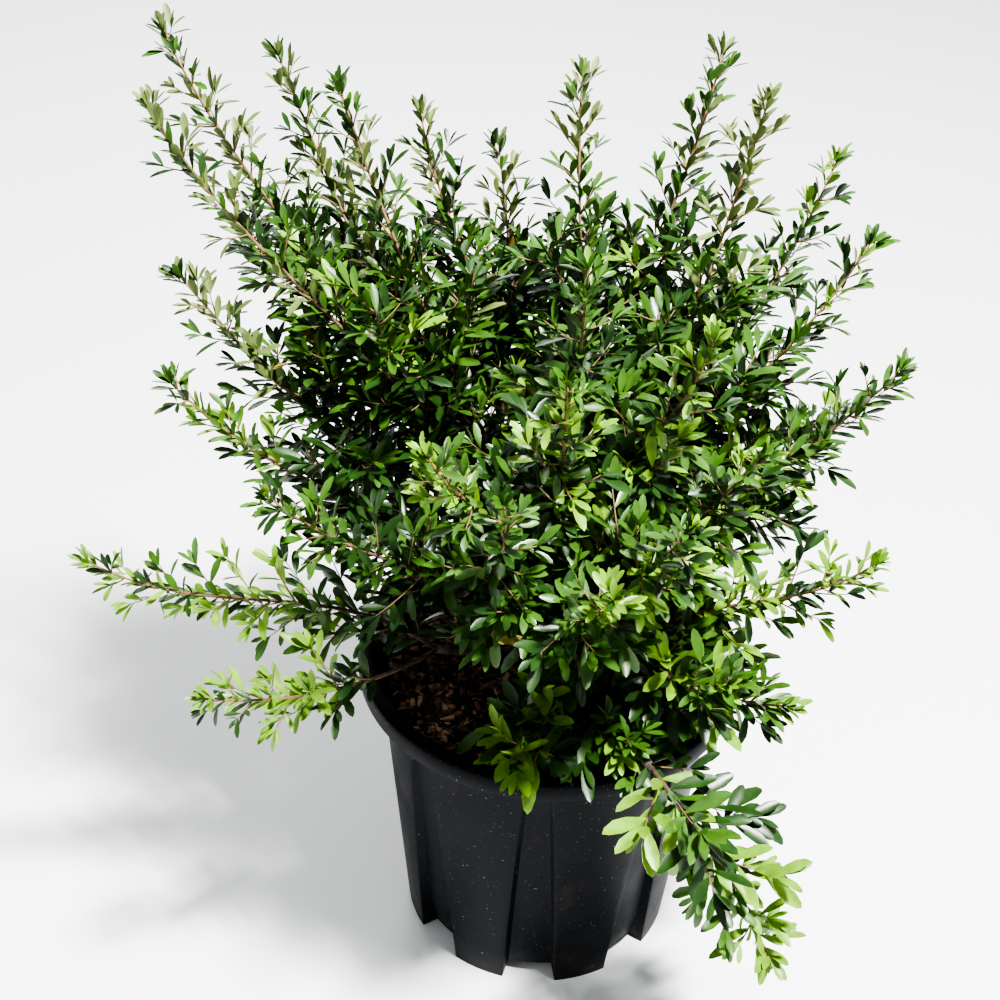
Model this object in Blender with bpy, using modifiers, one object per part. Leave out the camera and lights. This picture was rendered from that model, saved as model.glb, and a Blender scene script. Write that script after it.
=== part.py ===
"""Navaho firethorn, an evergreen shrub with narrow leaves, growing in a fluted black nursery pot.

Metres, +Z up. The pot's axis is the Z axis, its underside lies on z = 0 and the front looks along -Y.
Bearings are measured from the front, seen from above, and grow towards +X.
"""

import math
import random

import bmesh
import bpy
import numpy as np
from mathutils import Matrix, Vector
from mathutils.bvhtree import BVHTree
from mathutils.geometry import interpolate_bezier

NAME = "potted navaho firethorn"
GAP = 0.0003

# Pot
POT_HEIGHT = 0.269
RIM_RADIUS = 0.150
RIM_OPENING_RADIUS = 0.1376
RIM_BAND = 0.016
WALL = 0.0022
WALL_TOP_RADIUS = 0.1332
WALL_FOOT_RADIUS = 0.111
PITCHES = 8
FLUTE_TURN = math.radians(-3)
FLUTE_SHARE_TOP = 0.14
FLUTE_SHARE_FOOT = 0.44
FLUTE_DEPTH_TOP = 0.0035
FLUTE_DEPTH_FOOT = 0.0085
FLUTE_EDGE = 0.03
FLUTE_TOP = 0.249
WALL_MIDDLE = 0.115
PANEL_STEPS = 4
FOOT_HEIGHT = 0.0125
FOOT_PAD = 0.015
BASE_DISC_RADIUS = 0.074
CHANNEL_RADIUS = 0.079

# Potting mix
MIX_TOP = 0.244
MIX_CLEARANCE = 0.0006
FLUTE_WIDENING = 3.0
MIX_MOUND = 0.004

# Stem and boughs
STEM_HEIGHT = 0.086
STEM_LEAN = (0.004, -0.003)
STEM_RADII = ((0.0, 0.0195), (0.08, 0.0155), (0.25, 0.0135), (0.7, 0.0115), (0.92, 0.0095), (1.0, 0.0055))
BOUGH_SIDES = 6
BOUGH_STEPS = 4
BOUGH_FOOT_RADIUS = 0.0043
BOUGH_TIP_RADIUS = 0.0036
KNUCKLE_REACH = 0.00345
FORK_ANGLE = math.radians(33)

# Each bough by its place in the crown: the height at which it leaves the stem, the share of the way
# to its shoots' tips at which they part, and each tip's bearing, reach from the axis and height.
BOUGHS = {
    "low_left": (0.016, 0.30, ((-74, 0.350, 0.420), (-56, 0.300, 0.356))),
    "low_front": (0.018, 0.36, ((-10, 0.172, 0.305), (21, 0.172, 0.318))),
    "low_right": (0.016, 0.30, ((64, 0.247, 0.455), (55, 0.212, 0.325), (36, 0.205, 0.385))),
    "rear_right": (0.018, 0.30, ((150, 0.270, 0.480), (122, 0.280, 0.410))),
    "rear_left": (0.018, 0.30, ((-150, 0.280, 0.460), (-128, 0.290, 0.400))),
    "drooping": (0.034, 0.0, ((38, 0.274, 0.160),)),
    "left": (0.036, 0.30, ((-82, 0.281, 0.538), (-59, 0.236, 0.503))),
    "rear": (0.036, 0.30, ((180, 0.270, 0.450), (172, 0.190, 0.560))),
    "right": (0.036, 0.30, ((120, 0.221, 0.651), (98, 0.210, 0.629), (88, 0.239, 0.548))),
    "front_left": (0.053, 0.30, ((-10, 0.244, 0.592), (-24, 0.220, 0.597), (6, 0.262, 0.538))),
    "high_left": (0.054, 0.30, ((-109, 0.304, 0.735), (-96, 0.290, 0.711), (-88, 0.271, 0.604))),
    "high_right": (0.054, 0.30, ((140, 0.158, 0.725), (111, 0.137, 0.722))),
    "front_right": (0.056, 0.30, ((31, 0.164, 0.649), (42, 0.187, 0.563), (16, 0.249, 0.575))),
    "front": (0.072, 0.30, ((-2, 0.190, 0.645), (5, 0.080, 0.664))),
    "upper_left": (0.069, 0.30, ((-123, 0.257, 0.703), (-107, 0.170, 0.722), (-137, 0.163, 0.673))),
    "top": (0.079, 0.30, ((178, 0.100, 0.714), (-161, 0.170, 0.631))),
}
DROOP_CREST = (26, 0.166, 0.288)

# Foliage. Shares are of a shoot's length, and a leaf's measures are shares of its own length.
SEED = 7
SHOOT_RADII = (0.0019, 0.0011)
SHOOT_STEPS = 5
SHOOT_LIFT = 0.35
SHOOT_DROOP = 0.25
NODE_SPACING = 0.031
NODES_PER_SIDE_TWIG = 3
SIDE_TWIG_LENGTH = 0.062
SIDE_TWIG_ANGLE = math.radians(52)
SIDE_TWIG_RADII = (0.0013, 0.0009)
GOLDEN_TURN = math.radians(137.5)
LEAF_LENGTH_INSIDE = 0.074
LEAF_LENGTH_OUTSIDE = 0.046
TIP_LEAF_LENGTH = 0.042
LEAF_WIDTH = 0.40
LEAF_RIDGE = 0.045
LEAF_BROADEST = 0.56
LEAF_ANGLE_INSIDE = math.radians(58)
LEAF_ANGLE_OUTSIDE = math.radians(36)
LEAF_SINK = 0.0003
LEAF_CLEAR_OF_FOOT = 0.15
TIP_LEAF_SINK = 0.005
SIZES_TRIED = (1.0, 0.8, 0.62)
TURNS_TRIED = (0, math.radians(65), math.radians(-65))
SPACE_MARGIN = 0.003
LIMB_MARGIN = 0.0015
POT_MARGIN = 0.003
LOWEST_LEAF = 0.03
UP = Vector((0, 0, 1))


def clear_scene():
    for thing in list(bpy.data.objects):
        bpy.data.objects.remove(thing)


def collection(name):
    made = bpy.data.collections.new(name)
    bpy.context.scene.collection.children.link(made)
    return made


def material(name, colour, roughness, metallic=0.0):
    made = bpy.data.materials.new(name)
    made.use_nodes = True
    surface = made.node_tree.nodes["Principled BSDF"]
    surface.inputs["Base Color"].default_value = (*colour, 1)
    surface.inputs["Roughness"].default_value = roughness
    surface.inputs["Metallic"].default_value = metallic
    return made


def place(bearing, reach, height):
    """The point at a bearing in degrees, a reach from the pot's axis and a height."""
    turn = math.radians(bearing)
    return Vector((reach * math.sin(turn), -reach * math.cos(turn), height))


def new_object(name, mesh, group, finish):
    made = bpy.data.objects.new(name, mesh)
    mesh.materials.clear()
    mesh.materials.append(finish)
    group.objects.link(made)
    return made


def mesh_of(thing):
    """A plain mesh of an object as it is evaluated, with its doubled points merged."""
    bpy.context.view_layer.update()
    mesh = bpy.data.meshes.new_from_object(thing.evaluated_get(bpy.context.evaluated_depsgraph_get()))
    form = bmesh.new()
    form.from_mesh(mesh)
    bmesh.ops.remove_doubles(form, verts=form.verts, dist=1e-5)
    bmesh.ops.recalc_face_normals(form, faces=form.faces)
    form.to_mesh(mesh)
    form.free()
    return mesh


def tapered_tube(name, path, radii, sides, group, finish):
    """A limb: a tube of the given number of sides along a path, with its own radius at each point."""
    curve = bpy.data.curves.new(name, "CURVE")
    curve.dimensions = "3D"
    spline = curve.splines.new("POLY")
    spline.points.add(len(path) - 1)
    for point, centre, radius in zip(spline.points, path, radii):
        point.co = (*centre, 1)
        point.radius = radius
    if sides == 3:
        curve.bevel_mode = "OBJECT"
        curve.bevel_object = bpy.data.objects["twig_section"]
    else:
        curve.bevel_depth = 1
        curve.bevel_resolution = sides // 2 - 2
    curve.use_fill_caps = True
    guide = bpy.data.objects.new(name + "_path", curve)
    group.objects.link(guide)
    mesh = mesh_of(guide)
    bpy.data.objects.remove(guide)
    return new_object(name, mesh, group, finish)


def twig_section(group):
    """The three-sided section of the twigs, with its corners at a distance of 1."""
    curve = bpy.data.curves.new("twig_section", "CURVE")
    spline = curve.splines.new("POLY")
    spline.points.add(2)
    for i, point in enumerate(spline.points):
        turn = math.tau * i / 3
        point.co = (math.cos(turn), math.sin(turn), 0, 1)
    spline.use_cyclic_u = True
    section = bpy.data.objects.new("twig_section", curve)
    section.hide_render = True
    group.objects.link(section)


# Pot


def flute_half_share(height):
    """Half of a flute's width as a share of the pitch: narrow under the rim and broad at the feet."""
    rise = min(max(height / FLUTE_TOP, 0), 1)
    return 0.5 * (FLUTE_SHARE_FOOT + (FLUTE_SHARE_TOP - FLUTE_SHARE_FOOT) * rise)


def columns(height, radius, widen=0.0):
    """The angles of the wall's columns at a height, each with whether it lies in a flute."""
    pitch = math.tau / PITCHES
    half = flute_half_share(height) + widen / (radius * pitch)
    panel = 1 - 2 * (half + FLUTE_EDGE)
    shares = [(-half, True), (half, True)]
    shares += [(half + FLUTE_EDGE + panel * i / PANEL_STEPS, False) for i in range(PANEL_STEPS + 1)]
    return [
        (FLUTE_TURN + pitch * (k + share), in_flute)
        for k in range(PITCHES)
        for share, in_flute in shares
    ]


def wall_radius(height):
    """The outer radius of the plain wall between the flutes."""
    rise = height / (POT_HEIGHT - RIM_BAND)
    return WALL_FOOT_RADIUS + (WALL_TOP_RADIUS - WALL_FOOT_RADIUS) * rise


def flute_depth(height):
    if height > FLUTE_TOP:
        return 0.0
    return FLUTE_DEPTH_FOOT + (FLUTE_DEPTH_TOP - FLUTE_DEPTH_FOOT) * height / FLUTE_TOP


def ring(form, height, radius, flute_radius=None, flute_height=None, widen=0.0):
    """One row of the loft. Its points in the flutes may have their own radius and height."""
    row = []
    for angle, in_flute in columns(height, radius, widen):
        r = flute_radius if in_flute and flute_radius is not None else radius
        z = flute_height if in_flute and flute_height is not None else height
        row.append(form.verts.new((r * math.sin(angle), -r * math.cos(angle), z)))
    return row


def wall_ring(form, height, inset=0.0):
    radius = wall_radius(height) - inset
    return ring(form, height, radius, radius - flute_depth(height), widen=inset * FLUTE_WIDENING)


def join_rings(form, rows):
    bands = []
    for low, high in zip(rows, rows[1:]):
        band = []
        for i in range(len(low)):
            j = (i + 1) % len(low)
            band.append(form.faces.new((low[i], low[j], high[j], high[i])))
        bands.append(band)
    return bands


def build_pot(group, finish):
    """The pot as one sheet, from the middle of its base to the edge of its turned-over rim, given a wall."""
    form = bmesh.new()
    pad_radius = WALL_FOOT_RADIUS - FOOT_PAD
    foot_in_flute = WALL_FOOT_RADIUS - FLUTE_DEPTH_FOOT
    flange = POT_HEIGHT - WALL
    rows = [
        ring(form, 0, BASE_DISC_RADIUS),
        ring(form, FOOT_HEIGHT, CHANNEL_RADIUS),
        ring(form, FOOT_HEIGHT, pad_radius - 0.003),
        ring(form, 0, pad_radius, pad_radius, FOOT_HEIGHT),
        ring(form, 0, WALL_FOOT_RADIUS, foot_in_flute, FOOT_HEIGHT),
        wall_ring(form, WALL_MIDDLE),
        wall_ring(form, FLUTE_TOP),
        ring(form, POT_HEIGHT - RIM_BAND + 0.002, WALL_TOP_RADIUS),
        ring(form, flange, RIM_OPENING_RADIUS + WALL),
        ring(form, flange, RIM_RADIUS - WALL),
        ring(form, POT_HEIGHT - RIM_BAND, RIM_RADIUS - WALL),
    ]
    form.faces.new(reversed(rows[0]))
    bands = join_rings(form, rows)
    per_pitch = len(rows[0]) // PITCHES
    bmesh.ops.delete(form, geom=bands[1][::per_pitch], context="FACES_ONLY")
    mesh = bpy.data.meshes.new("pot")
    form.to_mesh(mesh)
    form.free()
    pot = new_object("pot", mesh, group, finish)
    wall = pot.modifiers.new("wall", "SOLIDIFY")
    wall.thickness = WALL
    wall.offset = -1
    wall.use_even_offset = True
    return pot


def build_mix(group, finish):
    """The potting mix that fills the pot to a little below its rim, with a slightly uneven top."""
    draw = random.Random(SEED)
    form = bmesh.new()
    inset = WALL + MIX_CLEARANCE
    lowest = FOOT_HEIGHT + inset
    floor_radius = WALL_FOOT_RADIUS - FLUTE_DEPTH_FOOT - inset - 0.001
    rows = [
        ring(form, inset, BASE_DISC_RADIUS - inset - 0.002),
        ring(form, lowest, CHANNEL_RADIUS - inset - 0.002),
        ring(form, lowest, floor_radius),
        wall_ring(form, WALL_MIDDLE, inset),
        wall_ring(form, MIX_TOP, inset),
        ring(form, MIX_TOP, (wall_radius(MIX_TOP) - inset) * 0.65),
        ring(form, MIX_TOP, STEM_RADII[0][1] * 1.3),
    ]
    for vert in rows[-2]:
        vert.co.z += draw.uniform(-MIX_MOUND, MIX_MOUND)
    form.faces.new(rows[0])
    join_rings(form, rows)
    form.faces.new(rows[-1])
    bmesh.ops.recalc_face_normals(form, faces=form.faces)
    mesh = bpy.data.meshes.new("potting_mix")
    form.to_mesh(mesh)
    form.free()
    return new_object("potting_mix", mesh, group, finish)


# Stem and boughs


def stem_point(height):
    """The middle of the stem at a height above the mix. Its foot stands upright, so its cut is level."""
    lean = max(height / STEM_HEIGHT - 0.08, 0)
    return Vector((STEM_LEAN[0] * lean, STEM_LEAN[1] * lean, MIX_TOP + GAP + height))


def build_stem(name, swell, group, finish):
    path = [stem_point(share * STEM_HEIGHT) for share, _ in STEM_RADII]
    path[0].z -= swell
    path[-1].z += swell
    return tapered_tube(name, path, [radius + swell for _, radius in STEM_RADII], 8, group, finish)


def smooth_path(start, start_way, end, end_way, steps, pull=0.38):
    span = (end - start).length * pull
    return interpolate_bezier(start, start + start_way * span, end - end_way * span, end, steps + 1)


def bough_path(place_name):
    """A bough's line from inside the stem to the point where its shoots part, and its way there."""
    height, share, tips = BOUGHS[place_name]
    tips = [place(*tip) for tip in tips]
    start = stem_point(height)
    middle = sum(tips, Vector()) / len(tips)
    end = start.lerp(middle, share) if share else place(*DROOP_CREST)
    outward = Vector((end.x - start.x, end.y - start.y, 0)).normalized()
    rise = (end - start).normalized().z
    start_way = (outward + UP * (0.35 + 0.6 * rise)).normalized()
    end_way = (end - start).normalized() if share else (outward + UP * 0.05).normalized()
    end_way = (end_way + UP * 0.25 * max(rise, 0)).normalized()
    return smooth_path(start, start_way, end, end_way, BOUGH_STEPS), end_way


def fork_ways(end_way, tips):
    """The way in which each shoot leaves the bough's end: evenly round the bough's own way, each on
    the side of its tip, far enough apart for their feet to be clear."""
    if len(tips) == 1:
        return [end_way]
    middle = sum(tips, Vector()) / len(tips)
    aside = end_way.cross(tips[0] - middle).normalized()
    across = aside.cross(end_way)
    sides = [math.atan2((tip - middle).dot(aside), (tip - middle).dot(across)) for tip in tips]
    order = sorted(range(len(tips)), key=lambda i: sides[i])
    even = [math.tau * k / len(tips) for k in range(len(tips))]
    shift = math.atan2(
        sum(math.sin(sides[i] - even[k]) for k, i in enumerate(order)),
        sum(math.cos(sides[i] - even[k]) for k, i in enumerate(order)),
    )
    ways = [None] * len(tips)
    for k, i in enumerate(order):
        turn = even[k] + shift
        spread = across * math.cos(turn) + aside * math.sin(turn)
        ways[i] = (end_way * math.cos(FORK_ANGLE) + spread * math.sin(FORK_ANGLE)).normalized()
    return ways


def build_bough(name, path, group, finish, cutter):
    """One tapering limb with a rounded end, cut clear of the stem that it grows from."""
    end_way = (path[-1] - path[-2]).normalized()
    radii = [
        BOUGH_FOOT_RADIUS + (BOUGH_TIP_RADIUS - BOUGH_FOOT_RADIUS) * i / BOUGH_STEPS
        for i in range(BOUGH_STEPS + 1)
    ]
    path = path + [path[-1] + end_way * BOUGH_TIP_RADIUS * 0.8]
    bough = tapered_tube(name, path, radii + [BOUGH_TIP_RADIUS * 0.5], BOUGH_SIDES, group, finish)
    cut = bough.modifiers.new("clear of the stem", "BOOLEAN")
    cut.operation = "DIFFERENCE"
    cut.object = cutter
    return bough


# Foliage


class Spaces:
    """The room that each mass of foliage keeps to: nearer to its own leading shoot than to any other,
    and clear of the limbs, the pot and the ground."""

    def __init__(self, shoots, limbs):
        self.shoots, self.owners = self.segments(shoots.values())
        self.names = list(shoots)
        self.limbs, which = self.segments(path for path, _ in limbs)
        self.limb_radii = np.array([limbs[i][1] for i in which])

    @staticmethod
    def segments(paths):
        found, owners = [], []
        for i, path in enumerate(paths):
            found += [(*a, *b) for a, b in zip(path, path[1:])]
            owners += [i] * (len(path) - 1)
        return np.array(found), np.array(owners)

    @staticmethod
    def distances(points, segments):
        start, along = segments[:, :3], segments[:, 3:] - segments[:, :3]
        offset = points[:, None] - start
        share = np.clip((offset * along).sum(2) / (along * along).sum(1), 0, 1)
        return np.linalg.norm(offset - share[:, :, None] * along, axis=2)

    def holds(self, name, points):
        points = np.array([tuple(point) for point in points])
        away = self.distances(points, self.shoots)
        own = self.owners == self.names.index(name)
        if (away[:, own].min(1) + SPACE_MARGIN > away[:, ~own].min(1)).any():
            return False
        if (self.distances(points, self.limbs) < self.limb_radii + LIMB_MARGIN).any():
            return False
        reach = np.hypot(points[:, 0], points[:, 1])
        over = points[:, 2] > POT_HEIGHT + POT_MARGIN
        outside = reach > RIM_RADIUS + POT_MARGIN
        inside = (reach < WALL_TOP_RADIUS - 2 * POT_MARGIN) & (points[:, 2] > MIX_TOP + 2 * POT_MARGIN)
        return bool((over | outside | inside).all() and (points[:, 2] > LOWEST_LEAF).all())


def leaf_mesh():
    """A leaf of six faces, one long: a ridge along its rib over a flat underside, broadest past its middle."""
    form = bmesh.new()
    bmesh.ops.create_uvsphere(form, u_segments=3, v_segments=2, radius=0.5)
    bmesh.ops.rotate(form, verts=form.verts, matrix=Matrix.Rotation(math.radians(90), 3, "X"))
    for vert in form.verts:
        at_end = abs(vert.co.y) > 0.1
        at_ridge = vert.co.z > 0.1
        side = 0 if at_end or at_ridge else math.copysign(0.5, vert.co.x)
        share = round(vert.co.y + 0.5) if at_end else LEAF_BROADEST
        vert.co = (side * LEAF_WIDTH, share, LEAF_RIDGE if at_ridge else 0)
    bmesh.ops.recalc_face_normals(form, faces=form.faces)
    mesh = bpy.data.meshes.new("leaf")
    form.to_mesh(mesh)
    form.free()
    return mesh


def leaf_matrix(foot, way, length):
    """Where a leaf lies: its foot, the way it points, and its upper face turned to the light."""
    light = (UP + Vector((foot.x, foot.y, 0)) * 1.5).normalized()
    across = way.cross(light).normalized()
    upper = across.cross(way)
    turned = Matrix((across, way, upper)).transposed().to_4x4()
    return Matrix.Translation(foot) @ turned @ Matrix.Scale(length, 4)


def around(way, angle, turn):
    """A way that leaves another at an angle, on the side that a turn round it gives."""
    aside = way.orthogonal().normalized()
    side = Matrix.Rotation(turn, 3, way) @ aside
    return (way * math.cos(angle) + side * math.sin(angle)).normalized()


def along(path, share):
    """The point at a share of a path's points, and the path's way there."""
    spot = min(share, 0.999) * (len(path) - 1)
    i = int(spot)
    step = path[i + 1] - path[i]
    return path[i] + step * (spot - i), step.normalized()


def between(first, last, share):
    return first + (last - first) * share


class Mass:
    """One mass of foliage: its twigs, the leading shoot first, and where its leaves lie."""

    def __init__(self, name, shoot, spaces, leaf, draw):
        self.name = name
        self.spaces = spaces
        self.leaf = leaf
        self.draw = draw
        self.twigs = [shoot]
        self.leaves = []
        self.blades = []

    def blade(self, matrix):
        """The points of a leaf and, to find the leaves that it would cross, its faces without its foot."""
        points = [matrix @ vert.co for vert in self.leaf.vertices]
        foot = matrix @ Vector((0, LEAF_CLEAR_OF_FOOT, 0))
        beyond = [
            foot if vert.co.length < LEAF_CLEAR_OF_FOOT else point
            for vert, point in zip(self.leaf.vertices, points)
        ]
        return points, BVHTree.FromPolygons(beyond, [face.vertices[:] for face in self.leaf.polygons])

    def add_leaf(self, foot, way, length):
        """Adds a leaf if it stays in the mass's space and crosses no other, and says whether it did."""
        matrix = leaf_matrix(foot, way, length)
        points, blade = self.blade(matrix)
        edges = [(points[a] + points[b]) / 2 for a, b in self.leaf.edge_keys]
        if not self.spaces.holds(self.name, points + edges):
            return False
        if any(blade.overlap(other) for other in self.blades):
            return False
        self.leaves.append(matrix)
        self.blades.append(blade)
        return True

    def add_side_leaf(self, foot, way, angle, turn, length):
        """Adds a leaf beside a twig: the full size on the nearest free side first, then smaller ones."""
        for size in SIZES_TRIED:
            for aside in TURNS_TRIED:
                leaf_way = around(way, angle, turn + aside)
                if self.add_leaf(foot - leaf_way * LEAF_SINK, leaf_way, length * size):
                    return

    def add_tip_leaf(self, path, length):
        foot, way = along(path, 1)
        for size in SIZES_TRIED:
            if self.add_leaf(foot - way * TIP_LEAF_SINK, way, length * size):
                return

    def add_side_twig(self, foot, way, turn, length):
        """Adds a side twig, shortened if it has to be, and gives its path."""
        for size in SIZES_TRIED:
            for aside in TURNS_TRIED:
                side = around(way, SIDE_TWIG_ANGLE, turn + aside)
                tip = foot + (side + UP * 0.12).normalized() * length * size
                if self.spaces.holds(self.name, [foot.lerp(tip, 0.5), tip]):
                    self.twigs.append([foot, tip])
                    return self.twigs[-1]
        return None

    def grow(self):
        """Nodes follow each other round the shoot at an even spacing. Every few nodes bear a side twig
        with leaves, shorter towards the shoot's tip, and the others a pair of leaves."""
        shoot = self.twigs[0]
        length = sum((b - a).length for a, b in zip(shoot, shoot[1:]))
        nodes = max(round(length / NODE_SPACING), 3)
        turn = self.draw.uniform(0, math.tau)
        self.add_tip_leaf(shoot, TIP_LEAF_LENGTH)
        for k in range(nodes):
            share = (k + 0.7) / (nodes + 0.4)
            foot, way = along(shoot, share)
            turn += GOLDEN_TURN
            size = between(LEAF_LENGTH_INSIDE, LEAF_LENGTH_OUTSIDE, share) * self.draw.uniform(0.88, 1.08)
            angle = between(LEAF_ANGLE_INSIDE, LEAF_ANGLE_OUTSIDE, share)
            twig = None
            if k % NODES_PER_SIDE_TWIG == 0:
                twig = self.add_side_twig(foot, way, turn, SIDE_TWIG_LENGTH * (1 - 0.5 * share))
            if twig:
                twig_way = (twig[1] - twig[0]).normalized()
                self.add_tip_leaf(twig, size * 0.85)
                self.add_side_leaf(twig[0].lerp(twig[1], 0.62), twig_way, angle, turn, size)
                self.add_side_leaf(twig[0].lerp(twig[1], 0.8), twig_way, angle, turn + math.pi, size)
            else:
                self.add_side_leaf(foot, way, angle, turn, size)
                self.add_side_leaf(foot, way, angle, turn + math.pi, size)


def whole_body(thing):
    """Keeps the largest closed body of a mesh, which drops loose scraps and fills sealed hollows."""
    form = bmesh.new()
    form.from_mesh(thing.data)
    bmesh.ops.triangulate(form, faces=form.faces)
    bodies = []
    waiting = set(form.faces)
    while waiting:
        body = set()
        edge_of_body = [waiting.pop()]
        while edge_of_body:
            face = edge_of_body.pop()
            body.add(face)
            for edge in face.edges:
                for neighbour in edge.link_faces:
                    if neighbour in waiting:
                        waiting.remove(neighbour)
                        edge_of_body.append(neighbour)
        bodies.append(body)
    bodies.sort(key=len)
    for body in bodies[:-1]:
        bmesh.ops.delete(form, geom=list(body), context="FACES")
    form.to_mesh(thing.data)
    form.free()


def build_foliage(mass, group, finish):
    """Joins one mass of foliage by a Boolean union of its twigs and leaves."""
    name = mass.name
    parts = bpy.data.collections.new(name + "_parts")
    bpy.context.scene.collection.children.link(parts)
    bodies = []
    for i, path in enumerate(mass.twigs):
        first, last = SHOOT_RADII if i == 0 else SIDE_TWIG_RADII
        radii = [between(first, last, k / (len(path) - 1)) for k in range(len(path))]
        bodies.append(tapered_tube(f"{name}_twig_{i}", path, radii, 3, parts, finish))
    for i, matrix in enumerate(mass.leaves):
        leaf = new_object(f"{name}_leaf_{i}", mass.leaf, parts, finish)
        leaf.matrix_world = matrix
    shoot = bodies[0]
    parts.objects.unlink(shoot)
    group.objects.link(shoot)
    shoot.name = name
    join = shoot.modifiers.new("join", "BOOLEAN")
    join.operation = "UNION"
    join.operand_type = "COLLECTION"
    join.collection = parts
    mesh = mesh_of(shoot)
    shoot.modifiers.clear()
    shoot.data = mesh
    for thing in list(parts.objects):
        bpy.data.objects.remove(thing)
    bpy.data.collections.remove(parts)
    whole_body(shoot)


def leading_shoots(place_name, path, end_way):
    """The leading shoots that part at a bough's end, by the names of their masses."""
    tips = [place(*tip) for tip in BOUGHS[place_name][2]]
    shoots = {}
    for k, (tip, way) in enumerate(zip(tips, fork_ways(end_way, tips))):
        start = path[-1] + way * (KNUCKLE_REACH + GAP)
        to_tip = (tip - start).normalized()
        end = tip - to_tip * (TIP_LEAF_LENGTH - TIP_LEAF_SINK)
        bend = UP * (SHOOT_LIFT if tip.z > start.z else -SHOOT_DROOP)
        end_way_of_shoot = (to_tip + bend).normalized()
        path_to_tip = smooth_path(start, way, end, end_way_of_shoot, SHOOT_STEPS)
        shoots[f"foliage_{place_name}_{k + 1}"] = path_to_tip
    return shoots


def main():
    clear_scene()
    group = collection(NAME)
    cutters = collection("cutters")
    twig_section(cutters)

    plastic = material("charcoal plastic", (0.022, 0.024, 0.028), 0.45)
    bark_mix = material("bark mix", (0.050, 0.030, 0.022), 0.95)
    bark = material("bark", (0.120, 0.080, 0.055), 0.85)
    green = material("leaf green", (0.085, 0.190, 0.040), 0.45)

    build_pot(group, plastic)
    build_mix(group, bark_mix)
    build_stem("stem", 0, group, bark)
    stem_cutter = build_stem("stem_cutter", GAP, cutters, bark)
    stem_cutter.hide_render = True
    stem_cutter.display_type = "WIRE"

    shoots = {}
    limbs = [([stem_point(0), stem_point(STEM_HEIGHT)], STEM_RADII[1][1])]
    for place_name in BOUGHS:
        path, end_way = bough_path(place_name)
        limbs.append((path, BOUGH_FOOT_RADIUS))
        build_bough("bough_" + place_name, path, group, bark, stem_cutter)
        shoots.update(leading_shoots(place_name, path, end_way))

    spaces = Spaces(shoots, limbs)
    leaf = leaf_mesh()
    for number, (name, shoot) in enumerate(shoots.items()):
        mass = Mass(name, shoot, spaces, leaf, random.Random(SEED + number))
        mass.grow()
        build_foliage(mass, group, green)


main()
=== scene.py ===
"""The looks of the potted navaho firethorn: pot, mulch, bark, twigs and leaves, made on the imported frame.

Metres, +Z up, with the pot's underside on z = 0 and the front looking along -Y. Bearings are measured
from the front, seen from above, and grow towards +X.
"""

import math
import random

import bmesh
import bpy
import numpy as np
from bpy.props import FloatProperty, FloatVectorProperty, IntProperty, PointerProperty
from mathutils import Matrix, Quaternion, Vector, noise
from mathutils.geometry import interpolate_bezier


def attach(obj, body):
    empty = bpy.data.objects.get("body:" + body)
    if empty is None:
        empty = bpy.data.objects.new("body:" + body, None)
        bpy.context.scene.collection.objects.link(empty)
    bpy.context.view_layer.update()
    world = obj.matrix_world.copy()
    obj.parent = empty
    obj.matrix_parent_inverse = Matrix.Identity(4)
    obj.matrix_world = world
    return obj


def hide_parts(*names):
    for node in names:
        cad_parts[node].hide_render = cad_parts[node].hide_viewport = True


bl_info = {
    "name": "Potted firethorn",
    "version": (1, 0, 0),
    "blender": (4, 5, 0),
    "location": "View3D > Sidebar > Firethorn",
    "description": "Dresses a firethorn shrub in its nursery pot with leaves, twigs, bark and mulch",
    "category": "Object",
}

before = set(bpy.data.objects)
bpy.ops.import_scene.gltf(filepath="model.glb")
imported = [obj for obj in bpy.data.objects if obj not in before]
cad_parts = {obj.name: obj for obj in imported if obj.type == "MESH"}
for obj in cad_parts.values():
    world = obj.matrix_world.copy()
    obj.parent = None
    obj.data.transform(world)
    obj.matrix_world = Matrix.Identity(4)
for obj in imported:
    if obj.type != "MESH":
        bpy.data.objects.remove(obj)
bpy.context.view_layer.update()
BODY = "root"
UP = Vector((0, 0, 1))
SEED = 7
GOLDEN_TURN = math.radians(137.5)

# Pot
POT_HEIGHT = 0.269
RIM_RADIUS = 0.150
RIM_OPENING_RADIUS = 0.1376
RIM_BAND = 0.016
RIM_ROUND = 0.0016
RIM_ROUND_MIDDLE = 0.3
RIM_ROUND_INSIDE = 0.6
NECK_HEIGHT = 0.002
WALL = 0.0022
WALL_TOP_RADIUS = 0.1332
WALL_FOOT_RADIUS = 0.111
WALL_ROWS = 12
PITCHES = 8
FLUTE_TURN = math.radians(-3)
FLUTE_SHARE_TOP = 0.14
FLUTE_SHARE_FOOT = 0.44
FLUTE_DEPTH_TOP = 0.0035
FLUTE_DEPTH_FOOT = 0.0085
FLUTE_EDGE = 0.03
FLUTE_TOP = 0.249
FLUTE_STEPS = 4
PANEL_STEPS = 12
FOOT_HEIGHT = 0.0125
FOOT_PAD = 0.015
FOOT_SLOPE = 0.003
BASE_DISC_RADIUS = 0.074
CHANNEL_RADIUS = 0.079
EDGE_ROUND = 0.0005
EDGE_ANGLE = math.radians(38)
SHARP_ANGLE = math.radians(40)
DUST_VEIL = 0.05
SCUFF_COLOUR = (0.024, 0.020, 0.018)

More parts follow.
